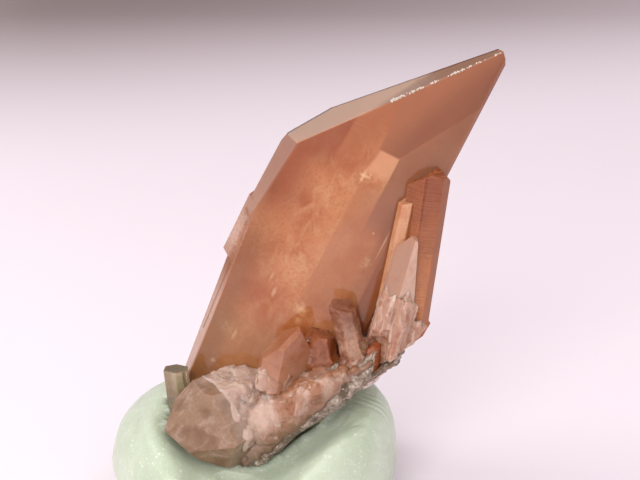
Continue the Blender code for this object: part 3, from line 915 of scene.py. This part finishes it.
# %% [markdown]
# ## Root of the upright crystals
# The whitish mass that the upright crystals on the right rise from is fibrous, like a bundle of splinters
# grown together.  Two frame solids and the foot of a third are grown a little, merged by a second
# remesh, and furrowed by noise that is stretched along the bundle.  The mass is then kept out of two
# places: it stays above the bare rock, and behind the small amber crystal.

# %% Root mass
ROOT_VOXEL = 0.12
ROOT_GROWS, ROOT_SHRINKS = 0.22, -0.10      # the first makes the solids meet, the second takes half back
FIBRE_TURN = Matrix.Rotation(radians(-12.0), 3, "Y")
ROOT_TOP = 27.2                 # the mass ends at this height, and the crystals stand out of it
ROOT_FALL = 0.8                 # how fast that top falls away to the right of ROOT_FALL_FROM
ROOT_FALL_FROM = 17.2
ROOT_BOTTOM = 5.2               # height over the slab's slope where the bare rock shows below it
AMBER_CLEAR = Vector((15.4, -6.4, 22.6))    # left of and below this, the mass stays behind the amber crystal


def root_rise(point):
    """furrows along the fibres; the skin dips away above the mass's own top"""
    along = FIBRE_TURN @ point
    fibre = Vector((along.x * 2.2, along.y * 2.2, along.z * 0.32))
    furrow = 0.20 * noise.noise(fibre) + 0.12 * noise.noise(fibre * 2.3) + 0.07 * noise.noise(point * 2.8)
    ragged = 1.4 * noise.noise(Vector((along.x * 1.3, along.y * 1.3, 0.2 * along.z)))
    top = ROOT_TOP - ROOT_FALL * max(0.0, point.x - ROOT_FALL_FROM)
    cover = max(0.0, min(1.0, (top + ragged - point.z) / 0.8))
    return cover * (0.02 + furrow) - (1.0 - cover) * HIDE


def kept_clear(point):
    """the same point, raised above the bare rock and pushed back behind the amber crystal if need be"""
    sunk = ROOT_BOTTOM + 0.4 * noise.noise(point * 1.1) - UPWARD.dot(point)
    point += UPWARD * max(0.0, sunk)
    ragged = 0.5 * noise.noise(point * 1.3)
    left_by = (AMBER_CLEAR.x + ragged - point.x) / 1.4
    below_by = (AMBER_CLEAR.z + ragged - point.z) / 1.8
    point.y += max(0.0, min(1.0, left_by, below_by)) * max(0.0, AMBER_CLEAR.y - point.y)
    return point


root_bm = even_skin(["inner_root_crystal", "outer_root_crystal", "pale_crystal"], ROOT_VOXEL)
move_skin(root_bm, lambda point: ROOT_GROWS)
root_bm = remeshed(root_bm, ROOT_VOXEL)
move_skin(root_bm, lambda point: ROOT_SHRINKS)
move_skin(root_bm, root_rise)
for corner in root_bm.verts:
    corner.co = kept_clear(corner.co / MM) * MM
root_bm.normal_update()

# %% Its quartz: the same milk, drawn out along the fibres
root_quartz, tree = start_material("fibrous_white_quartz")
here = own_frame(tree, (16.5, -7.4, 23.8), 12.0)
body = milk(tree, here, (190, 146, 132), (162, 106, 82), (230, 204, 202), size=1.6, veil=0.9,
            drawn=(2.2, 2.2, 0.4), mottle=0.25)
# painted glints: the grit's glinting grains are painted nearly white
colour, grit_and_glints = grit_with_painted_glints(tree, here, body["Color"], (250, 238, 232), 0.5, grain=0.3, glints=0.03)
finish_quartz(tree, colour, 0.24, grit_and_glints["Height"], clear=0.22, scatter=0.5, tint=(0.97, 0.8, 0.7),
              density=40.0, bump=0.22)
finished("root_mass", root_bm, root_quartz, ["inner_root_crystal", "outer_root_crystal"])

# %% [markdown]
# ## Crystal crumbs
# The crust glitters with crumbs: tiny quartz points and splinters, half sunk at all angles.  Many copies
# on a surface are a job for Geometry Nodes: points are scattered on the crust where a mask allows, and
# one small six-sided splinter is copied to each, turned and scaled at random.

# %% The splinter
def splinter(name, sides, waist, height, tip):
    """a closed little quartz point of about unit size, standing on the origin"""
    bm = bmesh.new()
    turns = [2 * pi * i / sides for i in range(sides)]
    ring = [bm.verts.new((waist * cos(turn), waist * sin(turn), -0.5 * height)) for turn in turns]
    upper = [bm.verts.new((v.co.x * 0.92, v.co.y * 0.92, 0.5 * height)) for v in ring]
    point = bm.verts.new((0.12 * waist, 0.05 * waist, 0.5 * height + tip))
    bm.faces.new(ring[::-1])
    for i in range(sides):
        j = (i + 1) % sides
        bm.faces.new((ring[i], ring[j], upper[j], upper[i]))
        bm.faces.new((upper[i], upper[j], point))
    return in_scene(name, mesh_of(name, bm))


stout_grain = splinter("stout_grain", 6, 0.5, 1.0, 0.45)

# %% Scatter tree
def same_on_all_axes(tree, value):
    """a vector with one number for all its parts"""
    made = put(tree, "ShaderNodeCombineXYZ")
    for axis in "XYZ":
        feed(tree, made.inputs[axis], value)
    return made.outputs["Vector"]


def random_vector(tree, seed, lowest, highest):
    """a vector drawn for each point, with every part between the two limits"""
    made = put(tree, "FunctionNodeRandomValue", data_type="FLOAT_VECTOR")
    feed(tree, made.inputs[0], lowest)
    feed(tree, made.inputs[1], highest)
    feed(tree, made.inputs["Seed"], seed)
    return made.outputs[0]


def scatter_tree(name):
    """Geometry Nodes: copies of a grain on a surface, about square to it, where it has `cover`"""
    tree, gin, gout = new_group(
        name,
        [("Geometry", "NodeSocketGeometry", None), ("Grain", "NodeSocketObject", None),
         ("Density", FLOAT, 1.0e6), ("Smallest", FLOAT, 0.2), ("Largest", FLOAT, 0.6),
         ("Spread", FLOAT, 0.6), ("Seed", "NodeSocketInt", 1), ("Finish", "NodeSocketMaterial", None)],
        [("Geometry", "NodeSocketGeometry")], kind="GeometryNodeTree")
    cover = put(tree, "GeometryNodeInputNamedAttribute", data_type="FLOAT")
    cover.inputs["Name"].default_value = "cover"
    spots = put(tree, "GeometryNodeDistributePointsOnFaces")
    feed(tree, spots.inputs["Mesh"], gin["Geometry"])
    feed(tree, spots.inputs["Density"], times(tree, cover.outputs["Attribute"], gin["Density"]))
    feed(tree, spots.inputs["Seed"], gin["Seed"])
    astray = random_vector(tree, gin["Seed"], (-1.0, -1.0, -1.0), (1.0, 1.0, 1.0))
    way = vectors(tree, "ADD", spots.outputs["Normal"], vectors(tree, "SCALE", astray, gin["Spread"]))
    upright = put(tree, "FunctionNodeAlignRotationToVector", axis="Z")
    feed(tree, upright.inputs["Vector"], way)
    lowest = same_on_all_axes(tree, times(tree, gin["Smallest"], MM))
    highest = same_on_all_axes(tree, times(tree, gin["Largest"], MM))
    size = random_vector(tree, sums(tree, "ADD", gin["Seed"], 1.0), lowest, highest)
    grain = put(tree, "GeometryNodeObjectInfo")
    feed(tree, grain.inputs["Object"], gin["Grain"])
    copies = put(tree, "GeometryNodeInstanceOnPoints")
    for label, value in (("Points", spots.outputs["Points"]), ("Instance", grain.outputs["Geometry"]),
                         ("Rotation", upright.outputs["Rotation"]), ("Scale", size)):
        feed(tree, copies.inputs[label], value)
    solid = put(tree, "GeometryNodeRealizeInstances")
    feed(tree, solid.inputs["Geometry"], copies.outputs["Instances"])
    dressed = put(tree, "GeometryNodeSetMaterial")
    feed(tree, dressed.inputs["Geometry"], solid.outputs["Geometry"])
    feed(tree, dressed.inputs["Material"], gin["Finish"])
    feed(tree, gout["Geometry"], dressed.outputs["Geometry"])
    return tree


crumb_tree = scatter_tree("crystal crumbs")
crumb_keys = {item.name: item.identifier for item in crumb_tree.interface.items_tree
              if item.in_out == "INPUT"}
print("the scatter tree asks for:", list(crumb_keys))

# %% Using it
def scattered(name, surface, slot, **values):
    """run the scatter tree on a mesh surface and keep the result as a plain mesh piece"""
    holder = in_scene(name + "_bed", surface)
    step = holder.modifiers.new("crumbs", "NODES")
    step.node_group = crumb_tree
    for label, value in values.items():
        step[crumb_keys[label]] = value
    bpy.context.view_layer.update()
    seen = holder.evaluated_get(bpy.context.evaluated_depsgraph_get())
    mesh = bpy.data.meshes.new_from_object(seen)
    mesh.name = name
    bpy.data.objects.remove(holder)
    piece = in_scene(name, mesh)
    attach(piece, ROOT)
    print(name, "faces:", len(mesh.polygons))


def covered_surface(source, cover_of):
    """a copy of a mesh that keeps only faces with some cover, with the cover on its corners"""
    bm = bmesh.new()
    bm.from_mesh(source)
    layer = bm.verts.layers.float.new("cover")
    for corner in bm.verts:
        corner[layer] = cover_of(corner.co / MM, corner.normal)
    bare = [f for f in bm.faces if max(v[layer] for v in f.verts) <= 0.0]
    bmesh.ops.delete(bm, geom=bare, context="FACES")
    return mesh_of("surface", bm)


# %% Crumbs on the crust
def crumb_cover(point, normal):
    """crumbs in patches where there is crust, and more on what looks up"""
    patchy = 0.5 + noise.noise(point * 0.55)
    return crust_cover(point) * max(0.0, 0.25 + 0.75 * normal.z) * max(0.0, patchy)


scattered("crust_crumbs", covered_surface(crust.data, crumb_cover), "matrix_rock",
          Grain=stout_grain, Density=1.2e6, Smallest=0.12, Largest=0.42, Spread=1.0, Seed=4,
          Finish=crust_quartz)

# %% [markdown]
# ## Crushed edge
# The sharp edge between the broad face and the end face is bruised: a row of tiny white chips follows it
# from halfway up to the tip.  The same tree scatters the same grains, smaller and denser, on a narrow
# ribbon laid along that edge.

# %% Where the crushed edge runs
FRONT_NORMAL = Vector((-0.156, -0.985, 0.076))
END_NORMAL = Vector((-0.437, -0.174, 0.883))
CRUSHED_FROM = 0.46             # the bruise begins at this share of the edge's length
main_bm = merged_copy("main_crystal")
main_bm.normal_update()
ridges = [e for e in main_bm.edges if len(e.link_faces) == 2
          and max(f.normal.dot(FRONT_NORMAL) for f in e.link_faces) > 0.99
          and max(f.normal.dot(END_NORMAL) for f in e.link_faces) > 0.99]
ridge = max(ridges, key=lambda e: e.calc_length())
ends = sorted((v.co / MM for v in ridge.verts), key=lambda co: co.x)
crushed_from, crushed_to = ends[0].lerp(ends[1], CRUSHED_FROM), ends[1]
main_bm.free()
print("crushed edge, mm:", crushed_from, crushed_to)

# %% White chips
white_chip, tree = start_material("bruised_white_quartz")
here = own_frame(tree)
# painted glints: the chips' glinting grains are painted brighter white
colour, grit_and_glints = grit_with_painted_glints(tree, here, paint(236, 214, 204), (255, 250, 246), 1.0, grain=0.12, glints=0.3)
finish_quartz(tree, colour, 0.18, grit_and_glints["Height"], clear=0.15, scatter=0.3, tint=(0.95, 0.9, 0.85),
              density=20.0, bump=0.4, step=0.05)
RIBBON_STEPS = 60
RIBBON_WIDE, RIBBON_NARROW = 0.16, 0.07     # half its width, in its first fifth and after


def chip_cover(share):
    """chips thin out in clumps along the edge, and there is a tuft of them at the tip"""
    fading = 1.2 - 1.6 * share + 1.4 * noise.noise(Vector((share * 9.0, 0.3, 0.0)))
    return max(0.0, fading) + (0.6 if share > 0.9 else 0.0)


ribbon = bmesh.new()
layer = ribbon.verts.layers.float.new("cover")
rows = []
for step in range(RIBBON_STEPS + 1):
    share = step / RIBBON_STEPS
    middle = crushed_from.lerp(crushed_to, share)
    half = RIBBON_WIDE if share < 0.2 else RIBBON_NARROW
    row = []
    for side in (-1, 1):
        corner = ribbon.verts.new((middle + Vector((0.0, side * half, side * half * 0.3 - 0.05))) * MM)
        corner[layer] = chip_cover(share)
        row.append(corner)
    rows.append(row)
for row, next_row in zip(rows, rows[1:]):
    ribbon.faces.new((row[0], next_row[0], next_row[1], row[1]))
scattered("edge_chips", mesh_of("ribbon", ribbon), "main_crystal", Grain=stout_grain, Density=5.0e7,
          Smallest=0.08, Largest=0.26, Spread=1.5, Seed=2, Finish=white_chip)
bpy.data.objects.remove(stout_grain)

# %% [markdown]
# ## Putty
# The putty is soft, smooth and faintly waxy, with tiny glints painted into its colour and the ridges of a
# fingertip on its right shoulder.  Its skin is remeshed, smoothed and closed up against the specimen.  Then
# it is heaped a little beside the stubby crystal, let fall away under the rock's free end, refined where the
# print is, and printed.

# %% Putty skin
PUTTY_VOXEL = 0.32
SMOOTHINGS = 3
TOUCH_REACH, TOUCH_OVERLAP = 0.75, 0.06     # how far the putty looks for the specimen, and sinks into it
LIP = 1.10                      # the putty is heaped this much beside the stubby crystal
GAP = 0.90                      # and falls away this much under the overhanging end of the rock
NEAR = 3.6                      # both fade out at this distance from the specimen
SIDE_FROM = 2.0                 # where across the specimen the lip turns into the gap
SIDE_FADES = 5.0                # and each is full this far from there
UPPER_FROM = 5.0                # both are only above this height
BASE_BELOW = 0.3                # corners lower than this stay on the flat base

putty_bm = even_skin(["putty_mound"], PUTTY_VOXEL)
for _ in range(SMOOTHINGS):
    smoothed(putty_bm, [v for v in putty_bm.verts if v.co.z > BASE_BELOW * MM])
specimen = neighbours_of("putty_mound")
draw_toward(putty_bm, specimen, TOUCH_REACH, TOUCH_OVERLAP)
for corner in putty_bm.verts:
    found = specimen.find_nearest(corner.co, NEAR * MM)
    if found[0] is not None and corner.co.z > UPPER_FROM * MM:
        closeness = 1.0 - (found[0] - corner.co).length / (NEAR * MM)
        side = max(-1.0, min(1.0, (SIDE_FROM - corner.co.x / MM) / SIDE_FADES))
        heaped = LIP * closeness * (1.35 - closeness) * 2.0
        corner.co.z += (heaped * max(0.0, side) - GAP * closeness * max(0.0, -side)) * MM

# %% Fingerprint
PRINT_AT = Vector((14.0, -3.6, 11.8))
PRINT_REACH = 7.0
PRINT_PITCH = 0.50              # millimetres from ridge to ridge
PRINT_DEPTH = 0.040
printed = [f for f in putty_bm.faces if (f.calc_center_median() / MM - PRINT_AT).length < PRINT_REACH
           and f.normal.z > 0.0]
printed_edges = {e for f in printed for e in f.edges}
bmesh.ops.subdivide_edges(putty_bm, edges=list(printed_edges), cuts=2, use_grid_fill=True)


def fingerprint(point):
    """height of the print's ridges at a point in millimetres"""
    off = point - PRINT_AT
    if off.length > PRINT_REACH:
        return 0.0
    fade = 1.0 - (off.length / PRINT_REACH) ** 2
    swirl = Vector((off.x * 0.75 + 2.4, off.y * 0.9 + 1.2, off.z + 3.0)).length
    waver = 0.25 * noise.noise(point * 0.5)
    return fade * PRINT_DEPTH * sin(2.0 * pi * (swirl + waver) / PRINT_PITCH)


def putty_rise(point):
    """slow swells and the print; the flat base stays as it is"""
    if point.z <= 1.0:
        return 0.0
    swell = 0.10 * noise.noise(point * 0.22) + 0.04 * noise.noise(point * 0.7)
    return swell - 0.08 + fingerprint(point)


putty_bm.normal_update()
move_skin(putty_bm, putty_rise)

# %% Putty material
soft_putty, tree = start_material("pale_green_putty")
here = own_frame(tree)
kneaded = milk(tree, here, (192, 203, 182), (180, 193, 169), (203, 212, 195), size=7.0, veil=0.35,
               drawn=(0.8, 0.8, 0.8), mottle=0.05)
putty_grain_and_glints = use_group(tree, "grit", Vector=here, Grain=0.17, Sharpness=0.60, Glints=0.08)
# painted glints: the grit's glinting grains are painted paler into the putty's colour, more in its pale
# wisps
painted_glints = times(tree, putty_grain_and_glints["Glint"], sums(tree, "MULTIPLY_ADD", kneaded["Milk"], 1.6, 0.15))
dress(tree, Base_Color=blend_colour(tree, painted_glints, kneaded["Color"], paint(236, 242, 228)),
      Roughness=sums(tree, "MULTIPLY_ADD", putty_grain_and_glints["Height"], 0.10, 0.22), Subsurface_Weight=0.6,
      Subsurface_Radius=(0.9, 1.0, 0.7), Subsurface_Scale=2.5 * MM)
bumped(tree, putty_grain_and_glints["Height"], 0.6, 0.05)
finished("putty_mound_finished", putty_bm, soft_putty, ["putty_mound"])

# %% [markdown]
# ## Floor
# A sheet of white card lies flat under the putty and curves up far behind it, where its colour is painted
# darker: painted shade.

# %% Floor
FLOOR_NEAR = -0.45
FLOOR_FAR = 0.75
FLOOR_HALF = 0.9
CURVE = 0.25
CURVE_STEPS = 12
WALL_TOP = 0.8
CARD_NEAR = (0.93, 0.85, 0.91, 1.0)
CARD_PAINTED_SHADE = (0.27, 0.215, 0.21, 1.0)

card = bmesh.new()
outline = [(FLOOR_NEAR, 0.0), (FLOOR_FAR - CURVE, 0.0)]
for step in range(1, CURVE_STEPS + 1):
    turn = pi / 2 * step / CURVE_STEPS
    outline.append((FLOOR_FAR - CURVE + CURVE * sin(turn), CURVE * (1.0 - cos(turn))))
outline.append((FLOOR_FAR, WALL_TOP))
rows = [[card.verts.new((side * FLOOR_HALF, y, z)) for side in (-1, 1)] for y, z in outline]
for row, next_row in zip(rows, rows[1:]):
    card.faces.new((row[0], row[1], next_row[1], next_row[0])).smooth = True
floor = in_scene("floor", mesh_of("card", card))

# %% Its card, whose painted shade begins nearer on the left
white_card, tree = start_material("white_card")
place = split(tree, put(tree, "ShaderNodeTexCoord").outputs["Object"])
slant = sums(tree, "MULTIPLY_ADD", place["X"], -0.60, place["Y"])
# painted shade: the card's colour darkens toward the back and up the curve
painted_shade_share = stretch(tree, slant, 0.19, 0.62)
dress(tree, Base_Color=blend_colour(tree, painted_shade_share, CARD_NEAR, CARD_PAINTED_SHADE), Roughness=0.55)
floor.data.materials.append(white_card)
